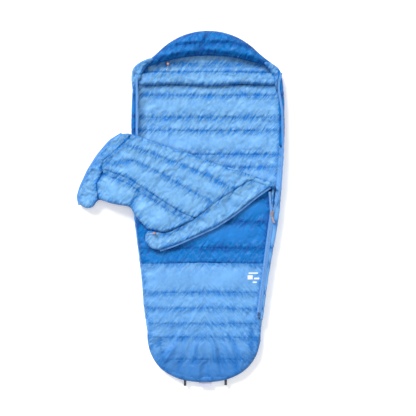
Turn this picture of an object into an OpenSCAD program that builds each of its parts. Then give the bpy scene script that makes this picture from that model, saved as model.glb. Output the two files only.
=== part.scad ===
// Mummy sleeping bag laid flat, front panel unzipped and folded down over itself.
// X across the bag, Y towards the hood, Z up, floor at Z = 0. Millimetres.

/* [Overall size] */
// length of the bag laid flat, crown of the hood to the toe
bag_l = 2066; // [1700:1:2500]
// width across the shoulders
shoulder_w = 906; // [740:1:1100]
// sideways lean of the foot end, as the bag happens to lie
lean = 24; // [0:1:60]

/* [Lofts] */
// mean thickness of the back panel
back_loft = 30; // [24:1:60]
// mean thickness of the front panel
front_loft = 30; // [24:1:60]
// mean thickness of the folded-down flap
flap_loft = 30; // [24:1:60]
// height left for the sleeper between back and front, empty bag
gap_h = 22; // [16:1:60]
// thickness drawn for a shell or lining cloth
skin_t = 2; // [1:0.5:4]
// air left between the front panel and the flap lying on it
flap_gap = 6; // [4:1:20]
// extra height of the draft collar over the flap
collar_h = 22; // [10:1:40]
// width of the side baffles in plan
rim_w = 32; // [24:1:48]
// how much lower the left side baffle is than the right one
left_drop = 8; // [8:1:14]

/* [Zip] */
// width of one zip tape
tape_w = 12; // [10:1:16]
// thickness of a zip tape
tape_t = 1.2; // [0.8:0.1:2]
// width of one row of coil
coil_w = 4; // [3:0.5:5]
// height of the coil over its tape
coil_h = 2.8; // [2:0.1:4]
// half of the slit between the two rows of coil
slit = 1; // [0.8:0.1:1.4]
// half of the groove under the zip, between side baffle and panel
groove = 7; // [6.5:0.5:9]

/* [Sliders] */
// length of a slider body
slider_l = 20; // [16:1:26]
// width of a slider body
slider_w = 15; // [13:0.5:18]
// thickness of the slider plates
plate_t = 2.8; // [2:0.2:4]
// running gap between slider and chain
run_gap = 0.6; // [0.3:0.1:1]
// radius of the pin that holds a pull
pin_r = 1.1; // [0.9:0.1:1.6]
// radial clearance of the pull's eye on its pin
pin_gap = 0.08; // [0.04:0.01:0.1]
// length of the metal pull tab
tab_l = 20; // [14:1:30]
// length of the webbing strip on the main pull
strip_l = 42; // [30:1:70]

/* [Cord locks] */
// radius of a cord lock barrel
lock_r = 6.5; // [5.5:0.5:9]
// height of a cord lock barrel
lock_h = 17; // [15:1:22]
// radial clearance of the plunger in the barrel
lock_gap = 0.1; // [0.05:0.05:0.3]
// travel of the plunger
lock_travel = 3; // [2:0.5:4]
// diameter of the drawcord
cord_d = 2.5; // [2:0.5:3]

/* [Foot end] */
// width of a hanging loop
loop_w = 15; // [10:1:25]
// how far a hanging loop stands out
loop_l = 28; // [20:1:40]
// gap inside a hanging loop
loop_gap = 7; // [5:1:12]
// width of the sewn-in label
label_w = 75; // [50:1:100]
// how far the label stands out
label_l = 22; // [15:1:40]

/* [Hidden] */
kx = shoulder_w / 906;
ky = bag_l / 2066;

// levels
z_lining = back_loft;
z_front0 = back_loft + gap_h;
z_front = z_front0 + front_loft;
z_left = z_front - left_drop;
z_flap = z_front + flap_gap;
z_flap1 = z_flap + flap_loft;

// stations down the side: Y, half-width
side = [[-731, 337], [-650, 348], [-556, 360], [-450, 371], [-345, 384], [-240, 401], [-140, 417],
        [-30, 431], [100, 438], [250, 444], [351, 449], [460, 453], [640, 449], [740, 442], [800, 425]];
ys = [800, 740, 640, 460, 351, 250, 100, -30, -140, -240, -345, -450, -556, -650, -731];
function hw(y) = lookup(y, side);
function cx(y) = -lean * max(0, min(1, (300 - y) / 900));
function P(p) = [p[0] * kx, p[1] * ky];
function PP(l) = [for (p = l) P(p)];
function edge_r(y, i) = [(cx(y) + hw(y)) * kx - i, y * ky];
function edge_l(y, i) = [(cx(y) - hw(y)) * kx + i, y * ky];
function between(a, b) = concat([a], [for (y = ys) if (y < a - 1 && y > b + 1) y], [b]);
function run_r(a, b, i) = [for (y = between(a, b)) edge_r(y, i)];
function run_l(a, b, i) = [for (y = between(a, b)) edge_l(y, i)];
function rev(l) = [for (k = [len(l) - 1 : -1 : 0]) l[k]];

// foot: a squarish ellipse, right side round to left side
foot_a = 337;
foot_b = 302;
foot_n = 2 / 2.35;
foot_y = -731;
function foot_pt(t, i) = [
    cx(foot_y) * kx + (foot_a * kx - i) * sign(cos(t)) * pow(abs(cos(t)), foot_n),
    foot_y * ky - (foot_b * ky - i) * pow(abs(sin(t)), foot_n)];
function foot(i) = [for (t = [9 : 9 : 171]) foot_pt(t, i)];
function toe_y(x) = let (u = abs(x - cx(foot_y) * kx) / (foot_a * kx))
    foot_y * ky - foot_b * ky * pow(1 - pow(u, 2 / foot_n), foot_n / 2);

y_neck = 800;
y_rim = 765;
y_break = 351;
y_left = 190;
y_foot = -650;

// hood: shoulders, then a round dome
dome_r = 403;
dome_y = 632;
shoulder = [[417, 815], [369, 848], [322, 883]];
function dome(i) = [for (a = [44 : 8 : 136]) [
    (dome_r * kx - i) * cos(a), dome_y * ky + (dome_r * ky - i) * sin(a)]];
function flip(l) = [for (p = rev(l)) [-p[0], p[1]]];
shoulder_in = [[378, 815], [340, 845], [300, 870]];
hood_out = concat(PP([[423, 801.5]]), PP(shoulder), dome(0), flip(PP(shoulder)), PP([[-423, 801.5]]));
rim_in = concat(PP(shoulder_in), dome(36), flip(PP(shoulder_in)));
brim_r = 945;
brim_y = -56;
brim_in = [for (x = [-360 : 60 : 360]) [x * kx, (brim_y + sqrt(brim_r * brim_r - x * x)) * ky]];

// fold of the front panel, left end to right end, and its direction
fold_a = P([-450, 432]);
fold_b = P([404, 136]);
fold_d = (fold_b - fold_a) / norm(fold_b - fold_a);
fold_n = [-fold_d[1], fold_d[0]];
function on_fold(x, back) = [x, fold_a[1] + (x - fold_a[0]) * fold_d[1] / fold_d[0] - back];

// closed zip: a straight line down the right side
zip_0 = P([376, -23]);
zip_1 = P([298, -618]);
zip_d = (zip_1 - zip_0) / norm(zip_1 - zip_0);
zip_n = [-zip_d[1], zip_d[0]];
zip_len = norm(zip_1 - zip_0);
function zip_at(s, o) = zip_0 + zip_d * s + zip_n * o;
main_slider_s = slider_l / 2 + 2;
foot_slider_s = zip_len + 8;
stop_s = foot_slider_s + slider_l / 2 + 2;
zip_open = PP([[410, 762], [424, 640], [431, 560], [431, 351], [421, 150], [404, 58]]);
left_x = -411 * kx;
left_y = 216 * ky;
left_gap = slider_w / 2 + 1;

// strips that follow a line, a to b to its left
function dir(l, k) = let (p = l[max(0, k - 1)], q = l[min(len(l) - 1, k + 1)]) (q - p) / norm(q - p);
function side_of(l, o) = [for (k = [0 : len(l) - 1]) let (d = dir(l, k)) l[k] + o * [-d[1], d[0]]];
function strip(l, a, b) = concat(side_of(l, a), rev(side_of(l, b)));

// flap outline and the regions sewn on it
flap_zip = PP([[362, 116], [287, 64], [216, 6], [140, -53], [41, -117], [-76, -170], [-193, -222],
               [-281, -252]]);
flap_neck = PP([[-328, -246], [-363, -211], [-374, -170], [-351, -132], [-392, -88], [-433, -41], [-450, 0],
                [-562, 18], [-644, 47]]);
flap_side = PP([[-673, 0], [-714, -12], [-755, 12], [-766, 59], [-749, 117], [-702, 216], [-644, 304],
                [-573, 386], [-503, 427]]);
fold_in = 2;
flap_out = concat([on_fold(fold_a[0], fold_in), on_fold(fold_b[0], fold_in)], flap_zip, flap_neck, flap_side);
collar_in = PP([[-614, 222], [-456, 164], [-345, 88], [-152, -35], [-72, -66], [-181, -123], [-252, -152],
                [-351, -132], [-392, -88], [-433, -41], [-450, 0], [-562, 18], [-644, 47], [-655, 140]]);
facing_in = concat([on_fold(fold_b[0], fold_in)], flap_zip,
                   PP([[-328, -246], [-363, -211], [-300, -190], [-234, -146], [-111, -58], [53, 35], [234, 150]]),
                   [on_fold(300 * kx, fold_in)]);
band_in = concat(flap_side, [on_fold(fold_a[0], fold_in)], PP([[-456, 405], [-620, 263], [-626, 190], [-655, 140],
                 [-644, 47]]));
// how the part of the flap beyond the bag's edge droops: X, drop
droop = [[-800, -72], [-700, -46], [-600, -22], [-520, -7], [-460, 0], [500, 0]];

navy = [0.04, 0.2, 0.52];
sky = [0.26, 0.53, 0.87];
pale = [0.42, 0.66, 0.93];
grey = [0.5, 0.5, 0.52];
coil_c = [0.12, 0.2, 0.42];
orange = [0.95, 0.35, 0.1];
white = [0.9, 0.9, 0.9];

module slab(z0, z1, pts) {
    translate([0, 0, z0])
        linear_extrude(z1 - z0)
            polygon(pts);
}

// the part of a slab between two stations
module slab_from(z0, z1, pts, y0, y1) {
    translate([0, 0, z0])
        linear_extrude(z1 - z0)
            intersection() {
                polygon(pts);
                translate([-1000 * kx, y0 * ky])
                    square([2000 * kx, (y1 - y0) * ky]);
            }
}

back_out = concat(run_r(y_neck - 1.5, foot_y, 0), foot(0), rev(run_l(y_neck - 1.5, foot_y, 0)));

module back_shell_upper() {
    color(navy)
        slab_from(0, skin_t, back_out, y_break, 900);
}

module back_shell_lower() {
    color(sky)
        slab_from(0, skin_t, back_out, -1200, y_break);
}

module back_fill() {
    color(white)
        slab(skin_t, back_loft - skin_t, back_out);
}

module back_lining() {
    color(pale)
        slab(back_loft - skin_t, back_loft, back_out);
}

// side baffles stand on the edge of the back panel
module side_baffle_right_upper() {
    color(navy)
        slab(z_lining, z_front, concat(run_r(y_rim, y_break, 0), rev(run_r(y_rim, y_break, rim_w))));
}

module side_baffle_right_lower() {
    color(sky)
        slab(z_lining, z_front, concat(run_r(y_break, y_foot, 0),
            [edge_r(y_foot, rim_w), zip_at(zip_len + 30, groove), zip_at(0, groove),
             edge_r(60, rim_w), edge_r(y_break, rim_w)]));
}

module side_baffle_left_upper() {
    color(navy)
        slab(z_lining, z_left, concat(run_l(y_rim, y_break, 0),
            [[left_x - groove, y_break * ky], [left_x - groove, y_rim * ky]]));
}

module side_baffle_left_lower() {
    color(sky)
        slab(z_lining, z_left, concat(run_l(y_break, y_foot, 0), rev(run_l(y_left, y_foot, rim_w + 2)),
            [[left_x - groove, y_left * ky], [left_x - groove, y_break * ky]]));
}

module foot_baffle() {
    color(sky)
        slab(z_lining, z_front0, concat(run_r(y_foot, foot_y, 0), foot(0), rev(run_l(y_foot, foot_y, 0)),
            run_l(y_foot, foot_y, rim_w + 2), rev(foot(rim_w + 2)), rev(run_r(y_foot, foot_y, rim_w + 2))));
}

// front panel below the fold, out to the foot's edge at the bottom
front_in = concat(
    [on_fold(left_x + left_gap, fold_in), on_fold(358 * kx, fold_in), P([362, 94]),
     zip_at(0, -groove), zip_at(zip_len + 30, -groove)],
    [edge_r(y_foot, rim_w + 0.5), edge_r(y_foot - 0.5, 0)], run_r(y_foot - 1, foot_y, 0), foot(0),
    rev(run_l(y_foot - 1, foot_y, 0)), [edge_l(y_foot - 0.5, rim_w + 2.5)],
    rev(run_l(y_left - 1, y_foot + 1, rim_w + 2.5)),
    [[left_x + left_gap, (y_left - 1) * ky]]);
y_chest = -336;

module front_shell_chest() {
    color(navy)
        slab_from(z_front - skin_t, z_front, front_in, y_chest, 900);
}

module front_shell_legs() {
    color(sky)
        slab_from(z_front - skin_t, z_front, front_in, -1200, y_chest);
}

module front_fill() {
    color(white)
        slab(z_front0 + skin_t, z_front - skin_t, front_in);
}

module front_lining() {
    color(pale)
        slab(z_front0, z_front0 + skin_t, front_in);
}

// insulated tubes behind the zips
module draft_tube_right() {
    color(pale)
        slab(z_front0, z_front - 10, [zip_at(0, -groove + 1), zip_at(0, groove - 1),
            zip_at(zip_len + 20, groove - 1), zip_at(zip_len + 20, -groove + 1)]);
}

module draft_tube_left() {
    color(pale)
        slab(z_lining, z_front0 - 2, [[left_x - groove + 1, 700 * ky], [left_x - groove + 1, y_left * ky],
            [left_x + 18, y_left * ky], [left_x + 18, 700 * ky]]);
}

// draft collar across the neck
module neck_collar() {
    color(sky)
        slab(z_lining, z_lining + 32, PP([[-396, 788], [-396, 712], [396, 712], [396, 788]]));
}

// right zip, base side: along the top of the side baffle, then down the closed part
base_line = concat(zip_open, [zip_at(0, 0), zip_at(stop_s + 8, 0)]);
front_line = concat([P([366, 90])], [zip_at(0, 0), zip_at(stop_s + 8, 0)]);

module zip_tape_base_right() {
    color(coil_c)
        slab(z_front, z_front + tape_t, strip(base_line, slit, slit + tape_w));
}

module zip_coil_base_right() {
    color(coil_c)
        slab(z_front + tape_t, z_front + tape_t + coil_h, strip(base_line, slit, slit + coil_w));
}

module zip_tape_front_right() {
    color(coil_c)
        slab(z_front, z_front + tape_t, strip(front_line, -slit, -slit - tape_w));
}

module zip_coil_front_right() {
    color(coil_c)
        slab(z_front + tape_t, z_front + tape_t + coil_h, strip(front_line, -slit, -slit - coil_w));
}

// metal stops at the bottom ends of the two zips
stop_l = 5;
stop_t = 1.5;

module zip_stops() {
    color(grey) {
        slab(z_front + tape_t + coil_h, z_front + tape_t + coil_h + stop_t,
            [zip_at(stop_s, -slit - coil_w), zip_at(stop_s, slit + coil_w),
             zip_at(stop_s + stop_l, slit + coil_w), zip_at(stop_s + stop_l, -slit - coil_w)]);
        slab(z_left + tape_t + coil_h, z_left + tape_t + coil_h + stop_t,
            [[left_x - slit, y_left * ky + stop_l], [left_x - slit, y_left * ky],
             [left_x - slit - coil_w, y_left * ky], [left_x - slit - coil_w, y_left * ky + stop_l]]);
    }
}

// left zip, base side only: its other half goes with the flap
module zip_tape_base_left() {
    color(coil_c)
        slab(z_left, z_left + tape_t, [[left_x - slit, y_rim * ky], [left_x - slit, y_left * ky],
            [left_x - slit - tape_w, y_left * ky], [left_x - slit - tape_w, y_rim * ky]]);
}

module zip_coil_base_left() {
    color(coil_c)
        slab(z_left + tape_t, z_left + tape_t + coil_h, [[left_x - slit, y_rim * ky],
            [left_x - slit, y_left * ky], [left_x - slit - coil_w, y_left * ky],
            [left_x - slit - coil_w, y_rim * ky]]);
}

// foot: two webbing loops and a label, caught in the end seam
web_t = 1.5;
seam_in = 5;
loop_z = z_lining + gap_h / 2;

module hang_loop(x) {
    translate([x - loop_w / 2, toe_y(x) + seam_in, loop_z])
        rotate([90, 0, 90])
            linear_extrude(loop_w)
                difference() {
                    translate([-loop_l - seam_in, -loop_gap / 2 - web_t])
                        square([loop_l + seam_in, loop_gap + 2 * web_t]);
                    translate([-loop_l - seam_in + web_t, -loop_gap / 2])
                        square([loop_l - web_t, loop_gap]);
                }
}

module hang_loop_left() {
    color(coil_c)
        hang_loop(-135 * kx);
}

module hang_loop_right() {
    color(coil_c)
        hang_loop(104 * kx);
}

label_x = -16 * kx;

module care_label() {
    color(white)
        translate([label_x - label_w / 2, toe_y(label_x) - label_l, loop_z])
            cube([label_w, label_l + seam_in, 1]);
}

// a layer of the flap between two heights over its underside, drooping past the bag's edge
module flap_layer(z0, z1) {
    intersection() {
        translate([0, 0, -100])
            linear_extrude(400)
                children();
        translate([0, 600 * ky, z_flap])
            rotate([90, 0, 0])
                linear_extrude(1000 * ky)
                    polygon(concat([for (p = droop) [p[0] * kx, p[1] + z0]],
                                   [for (p = rev(droop)) [p[0] * kx, p[1] + z1]]));
    }
}

module flap_middle() {
    difference() {
        polygon(flap_out);
        polygon(collar_in);
        polygon(facing_in);
        polygon(band_in);
    }
}

module flap_shell() {
    color(navy)
        flap_layer(0, skin_t)
            polygon(flap_out);
}

module flap_fill() {
    color(white)
        flap_layer(skin_t, flap_loft - skin_t)
            flap_middle();
}

module flap_lining() {
    color(pale)
        flap_layer(flap_loft - skin_t, flap_loft)
            flap_middle();
}

module flap_collar() {
    color(pale)
        flap_layer(skin_t, flap_loft + collar_h)
            polygon(collar_in);
}

module flap_zip_facing() {
    color(pale)
        flap_layer(skin_t, flap_loft - 6)
            difference() {
                polygon(facing_in);
                polygon(collar_in);
            }
}

module flap_side_facing() {
    color(pale)
        flap_layer(skin_t, flap_loft - 8)
            difference() {
                polygon(band_in);
                polygon(collar_in);
            }
}

module flap_zip_tape_right() {
    color(coil_c)
        flap_layer(skin_t, skin_t + tape_t)
            polygon(strip(flap_zip, 0.2, tape_w));
}

module flap_zip_coil_right() {
    color(coil_c)
        flap_layer(skin_t + tape_t, skin_t + tape_t + coil_h)
            polygon(strip(flap_zip, tape_w - coil_w, tape_w));
}

flap_left = rev([for (k = [2 : 8]) flap_side[k]]);

module flap_zip_tape_left() {
    color(coil_c)
        flap_layer(skin_t, skin_t + tape_t)
            polygon(strip(flap_left, -0.2, -tape_w));
}

module flap_zip_coil_left() {
    color(coil_c)
        flap_layer(skin_t + tape_t, skin_t + tape_t + coil_h)
            polygon(strip(flap_left, -tape_w + coil_w, -tape_w));
}

// eight-sided round cord along a route
function ring(p, d, r) = let (s = [-d[1], d[0], 0] / norm([d[0], d[1]]), t = cross(d, s))
    [for (a = [0 : 45 : 315]) p + r * (cos(a) * s + sin(a) * t)];
function way(l, k) = let (p = l[max(0, k - 1)], q = l[min(len(l) - 1, k + 1)]) (q - p) / norm(q - p);

module cord(l) {
    n = len(l);
    polyhedron(
        points = [for (k = [0 : n - 1]) each ring(l[k], way(l, k), cord_d / 2)],
        faces = concat([[0, 1, 2, 3, 4, 5, 6, 7]],
            [for (k = [0 : n - 2], j = [0 : 7])
                [8 * k + j, 8 * k + 8 + j, 8 * k + 8 + (j + 1) % 8, 8 * k + (j + 1) % 8]],
            [[for (j = [7 : -1 : 0]) 8 * (n - 1) + j]]));
}

// wall of an end fitting round its cord
end_wall = 1;

// where an end fitting of length l stops, in line with the cord's last stretch
function beyond(route, l) = let (p = route[len(route) - 2], q = route[len(route) - 1]) q + l * (q - p) / norm(q - p);

module cord_end(p, q) {
    d = q - p;
    translate(p)
        rotate([0, acos(d[2] / norm(d)), atan2(d[1], d[0])])
            cylinder(r = cord_d / 2 + end_wall, h = norm(d), $fn = 32);
}

// cord lock: barrel with a hole through it, and a plunger with a slot for the cord
lock_hole = 8;
lock_wall = 2;
lock_bore = lock_r - lock_wall;
lock_floor = 1.5;
lock_cap = 3;
// space left between plunger and barrel when it is pressed home
lock_stop = 0.2;
hole_r = cord_d / 2 + 0.45;

module lock_barrel() {
    difference() {
        cylinder(r = lock_r, h = lock_h, $fn = 48);
        translate([0, 0, lock_floor])
            cylinder(r = lock_bore, h = lock_h, $fn = 48);
        translate([0, 0, lock_hole])
            rotate([90, 0, 0])
                cylinder(r = hole_r, h = 4 * lock_r, center = true, $fn = 32);
    }
}

module lock_button() {
    difference() {
        union() {
            translate([0, 0, lock_floor + lock_stop + lock_travel])
                cylinder(r = lock_bore - lock_gap, h = lock_h + 1, $fn = 48);
            translate([0, 0, lock_h + lock_travel + lock_stop])
                cylinder(r = lock_r - 0.5, h = lock_cap, $fn = 48);
        }
        translate([-hole_r, -lock_r, lock_hole - hole_r])
            cube([2 * hole_r, 2 * lock_r, 2 * hole_r + lock_travel + 0.3]);
    }
}

hood_lock = [-236 * kx, 841 * ky, z_lining + 0.5];
collar_lock = [-312 * kx, -152 * ky, z_flap1 + 0.5];

module hood_lock_barrel() {
    color(grey)
        translate(hood_lock)
            lock_barrel();
}

module hood_lock_button() {
    color(orange)
        translate(hood_lock)
            lock_button();
}

module collar_lock_barrel() {
    color(grey)
        translate(collar_lock)
            rotate([0, 0, 90])
                lock_barrel();
}

module collar_lock_button() {
    color(orange)
        translate(collar_lock)
            rotate([0, 0, 90])
                lock_button();
}

hc = hood_lock + [0, 0, lock_hole];
hood_cord_route = [hc + [0, 15, 0], hc + [0, -22, 0], hc + [-2, -26, -2], hc + [-6, -30, -4]];
hood_cord_tip = beyond(hood_cord_route, 5);
short_a = [-328 * kx, 832 * ky, z_lining + 8];
hood_cord_short_route = [short_a, short_a + [-10, -6, -3], short_a + [-22, -11, -5], short_a + [-33, -14, -5]];
hood_cord_short_tip = beyond(hood_cord_short_route, 7.6);
cc = collar_lock + [0, 0, lock_hole];
collar_cord_route = [cc + [17, 0, 0], cc + [-18, 0, 0], cc + [-27, -3, -4.5], cc + [-37, -7, -5.3]];
collar_cord_tip = beyond(collar_cord_route, 7.3);

module hood_cord() {
    color(grey)
        cord(hood_cord_route);
}

module hood_cord_end() {
    color(white)
        cord_end(hood_cord_route[3], hood_cord_tip);
}

module hood_cord_short() {
    color(grey)
        cord(hood_cord_short_route);
}

module hood_cord_short_end() {
    color(orange)
        cord_end(hood_cord_short_route[3], hood_cord_short_tip);
}

module collar_cord() {
    color(grey)
        cord(collar_cord_route);
}

module collar_cord_end() {
    color(grey)
        cord_end(collar_cord_route[3], collar_cord_tip);
}

// hood: a flat back and a brim folded over it, joined round the crown
module hood_shell() {
    color(navy)
        slab(0, skin_t, hood_out);
}

module hood_fill() {
    color(white)
        slab(skin_t, back_loft - skin_t, hood_out);
}

module hood_lining() {
    color(pale)
        slab(back_loft - skin_t, back_loft, hood_out);
}

crown = concat(PP(shoulder), dome(0), flip(PP(shoulder)));

module hood_side_baffle() {
    color(navy)
        slab(z_lining, z_front0, concat(crown, rev(rim_in)));
}

module brim_lining() {
    color(sky)
        slab(z_front0, z_front0 + skin_t, concat(crown, brim_in));
}

module brim_fill() {
    color(white)
        slab(z_front0 + skin_t, z_front - skin_t, concat(crown, brim_in));
}

module brim_shell() {
    color(navy)
        slab(z_front - skin_t, z_front, concat(crown, brim_in));
}

// slider: two plates round the chain, a thin blade between its rows, two lugs and a pin
plate_1 = tape_t + coil_h + run_gap;
pin_z = plate_1 + plate_t + pin_r + 1.9;
plate_0 = 3.5;
blade_in = 2;
lug_x = 4;
lug_t = 1.8;
lug_l = 4.4;
rim_t = 1.2;

module slider() {
    translate([-groove + run_gap, -slider_l / 2, -run_gap - plate_0])
        cube([2 * (groove - run_gap), slider_l, plate_0]);
    translate([-slit * 0.6, -slider_l / 2 + blade_in, -run_gap - 1])
        cube([slit * 1.2, slider_l - 2 * blade_in, plate_1 + run_gap + 2]);
    translate([-slider_w / 2, -slider_l / 2, plate_1])
        cube([slider_w, slider_l, plate_t]);
    for (m = [-1, 1]) {
        translate([m * (slider_w - rim_t) / 2 - rim_t / 2, -slider_l / 2, tape_t + run_gap])
            cube([rim_t, slider_l, plate_1 + plate_t - tape_t - run_gap]);
        translate([m * lug_x - lug_t / 2, -lug_l / 2, plate_1 + plate_t - 0.5])
            cube([lug_t, lug_l, pin_z + pin_r + 0.8 - plate_1 - plate_t + 0.5]);
    }
    translate([0, 0, pin_z])
        rotate([0, 90, 0])
            cylinder(r = pin_r, h = 2 * lug_x, center = true, $fn = 32);
}

// pull: an eye on the pin, a neck between the lugs and a flat tab
eye_w = 5.6;
eye_wall = 1.5;
neck_l = 7;
tab_w = 7.2;
tab_t = 1.6;

module pull(length) {
    difference() {
        union() {
            translate([0, 0, pin_z])
                rotate([0, 90, 0])
                    cylinder(r = pin_r + eye_wall, h = eye_w, center = true, $fn = 32);
            translate([-eye_w / 2, -neck_l, pin_z - tab_t / 2])
                cube([eye_w, neck_l, tab_t]);
            translate([-tab_w / 2, -length, pin_z - tab_t / 2])
                cube([tab_w, length - neck_l + 1, tab_t]);
        }
        translate([0, 0, pin_z])
            rotate([0, 90, 0])
                cylinder(r = pin_r + pin_gap, h = 2 * eye_w, center = true, $fn = 32);
    }
}

module at_zip(s) {
    translate([zip_at(s, 0)[0], zip_at(s, 0)[1], z_front])
        rotate([0, 0, atan2(zip_d[1], zip_d[0]) + 90])
            children();
}

module slider_main() {
    color(grey)
        at_zip(main_slider_s)
            slider();
}

module slider_main_pull() {
    color(grey)
        at_zip(main_slider_s)
            pull(tab_l);
}

// the webbing strip hangs to one side of its tab
strip_w = 9;
strip_turn = 30;
strip_in = 2.5;

module slider_main_strip() {
    color(white)
        at_zip(main_slider_s)
            translate([0, -tab_l - 0.2, pin_z - tab_t / 2])
                rotate([0, 0, strip_turn])
                    translate([-strip_w / 2, -strip_l, 0])
                        cube([strip_w, strip_l - strip_in, tab_t]);
}

module slider_foot() {
    color(coil_c)
        at_zip(foot_slider_s)
            slider();
}

module slider_foot_pull() {
    color(coil_c)
        at_zip(foot_slider_s)
            pull(tab_l + 10);
}

module slider_left() {
    color(coil_c)
        translate([left_x, left_y + 16, z_left])
            slider();
}

module slider_left_pull() {
    color(coil_c)
        translate([left_x, left_y + 16, z_left])
            pull(tab_l);
}

back_shell_upper();
back_shell_lower();
back_fill();
back_lining();
side_baffle_right_upper();
side_baffle_right_lower();
side_baffle_left_upper();
side_baffle_left_lower();
foot_baffle();
front_shell_chest();
front_shell_legs();
front_fill();
front_lining();
draft_tube_right();
draft_tube_left();
neck_collar();
zip_tape_base_right();
zip_coil_base_right();
zip_tape_front_right();
zip_coil_front_right();
zip_stops();
zip_tape_base_left();
zip_coil_base_left();
hang_loop_left();
hang_loop_right();
care_label();
flap_shell();
flap_fill();
flap_lining();
flap_collar();
flap_zip_facing();
flap_side_facing();
flap_zip_tape_right();
flap_zip_coil_right();
flap_zip_tape_left();
flap_zip_coil_left();
collar_cord();
collar_cord_end();
collar_lock_barrel();
collar_lock_button();
hood_shell();
hood_fill();
hood_lining();
hood_side_baffle();
brim_lining();
brim_fill();
brim_shell();
hood_cord();
hood_cord_end();
hood_cord_short();
hood_cord_short_end();
hood_lock_barrel();
hood_lock_button();
slider_main();
slider_main_pull();
slider_main_strip();
slider_foot();
slider_foot_pull();
slider_left();
slider_left_pull();
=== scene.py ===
# %% [markdown]
# # A mummy sleeping bag, half open
# The bag is two quilted panels of thin nylon filled with down, joined by side baffles and
# closed by a long zip. Here its top panel is unzipped and folded down over itself, so that
# the pale lining, the draft collar and the inside of the hood show. Nearly everything on it
# is soft, so the lesson is mostly about cutting cloth, sewing it down along lines and
# letting it puff up.
# %% Load the frame
import math

import bmesh
import bpy
import numpy as np
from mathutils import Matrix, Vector
from mathutils.geometry import delaunay_2d_cdt


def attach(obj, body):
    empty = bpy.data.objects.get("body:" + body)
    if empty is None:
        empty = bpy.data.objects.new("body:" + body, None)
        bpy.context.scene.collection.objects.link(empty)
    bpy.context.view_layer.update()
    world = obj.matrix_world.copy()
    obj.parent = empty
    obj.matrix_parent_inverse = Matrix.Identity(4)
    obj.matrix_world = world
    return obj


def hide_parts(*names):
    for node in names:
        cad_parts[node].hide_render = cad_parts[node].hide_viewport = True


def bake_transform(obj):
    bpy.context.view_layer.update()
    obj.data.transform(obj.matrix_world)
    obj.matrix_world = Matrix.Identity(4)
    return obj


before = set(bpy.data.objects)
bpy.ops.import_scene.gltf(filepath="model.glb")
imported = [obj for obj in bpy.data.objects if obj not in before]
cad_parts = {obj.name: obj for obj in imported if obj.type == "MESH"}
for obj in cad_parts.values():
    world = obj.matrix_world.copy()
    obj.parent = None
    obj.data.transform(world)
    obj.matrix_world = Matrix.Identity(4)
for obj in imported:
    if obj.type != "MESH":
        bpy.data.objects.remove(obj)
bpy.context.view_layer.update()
scene = bpy.context.scene

# %% [markdown]
# ## Camera
# The bag lies flat and is seen from straight above. A long lens from seven metres keeps
# the raised flap nearly as small as the floor around it. It comes first because the cords
# have to stay within what it sees.
# %% Camera
lens_data = bpy.data.cameras.new("overhead")
lens_data.lens = 103.6
lens_data.sensor_width = 36
camera = bpy.data.objects.new("overhead", lens_data)
camera.location = (0, -0.006, 7.083)
scene.collection.objects.link(camera)
scene.camera = camera
scene.view_settings.view_transform = "Standard"
print("camera height", camera.location.z)

# %% [markdown]
# ## Helpers for lines
# Cloth is cut along outlines and sewn along lines, so the first tools work on lines of
# points: even spacing, rounded corners, distance to a line, and inside or outside.
# %% Line helpers
MM = 0.001


def mm(points):
    return np.array(points, float) * MM


def evenly(points, step, closed=False):
    """The same line with points about a step apart."""
    p = np.array(points, float)
    if closed:
        p = np.vstack([p, p[:1]])
    run = np.concatenate([[0], np.cumsum(np.linalg.norm(np.diff(p, axis=0), axis=1))])
    count = max(2, int(round(run[-1] / step)) + 1)
    at = np.linspace(0, run[-1], count)
    out = np.stack([np.interp(at, run, p[:, k]) for k in range(p.shape[1])], axis=1)
    return out[:-1] if closed else out


def rounded_line(points, reach, closed=False):
    """Softens the corners of a line over about the reach given."""
    p = evenly(points, reach, closed)
    for _ in range(3):
        a = p if closed else p[:-1]
        b = np.roll(p, -1, axis=0) if closed else p[1:]
        q = np.empty((2 * len(a), p.shape[1]))
        q[0::2], q[1::2] = a * 0.75 + b * 0.25, a * 0.25 + b * 0.75
        p = q if closed else np.vstack([p[:1], q, p[-1:]])
    return p


def reach_to(points, line, closed=False):
    """Distance from each point to a line, and how far along the line the nearest place is."""
    p = np.array(points, float)[:, :2]
    line = np.array(line, float)[:, :2]
    if closed:
        line = np.vstack([line, line[:1]])
    best, along = np.full(len(p), 9.0), np.zeros(len(p))
    run = 0.0
    for a, b in zip(line[:-1], line[1:]):
        d = b - a
        size = float(np.hypot(*d))
        if size < 1e-9:
            continue
        t = np.clip(((p - a) @ d) / size**2, 0, 1)
        gap = np.linalg.norm(p - (a + t[:, None] * d), axis=1)
        nearer = gap < best
        best[nearer] = gap[nearer]
        along[nearer] = run + t[nearer] * size
        run += size
    return best, along


def is_inside(points, outline):
    p = np.array(points, float)
    hit = np.zeros(len(p), bool)
    o = np.array(outline, float)
    for a, b in zip(o, np.roll(o, -1, axis=0)):
        if a[1] == b[1]:
            continue
        crosses = (a[1] > p[:, 1]) != (b[1] > p[:, 1])
        x = a[0] + (p[:, 1] - a[1]) * (b[0] - a[0]) / (b[1] - a[1])
        hit ^= crosses & (p[:, 0] < x)
    return hit


def bump_noise(x, y, seed):
    """Smooth numbers from -1 to 1 over a plane, one lump to a unit, the same each run."""
    grid = np.random.default_rng(seed).uniform(-1, 1, (257, 257))
    grid[256], grid[:, 256] = grid[0], grid[:, 0]
    fx, fy = np.floor(x), np.floor(y)
    u, v = x - fx, y - fy
    u, v = u * u * (3 - 2 * u), v * v * (3 - 2 * v)
    i, j = fx.astype(int) % 256, fy.astype(int) % 256
    low = grid[i, j] * (1 - u) + grid[i + 1, j] * u
    high = grid[i, j + 1] * (1 - u) + grid[i + 1, j + 1] * u
    return low * (1 - v) + high * v


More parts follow.
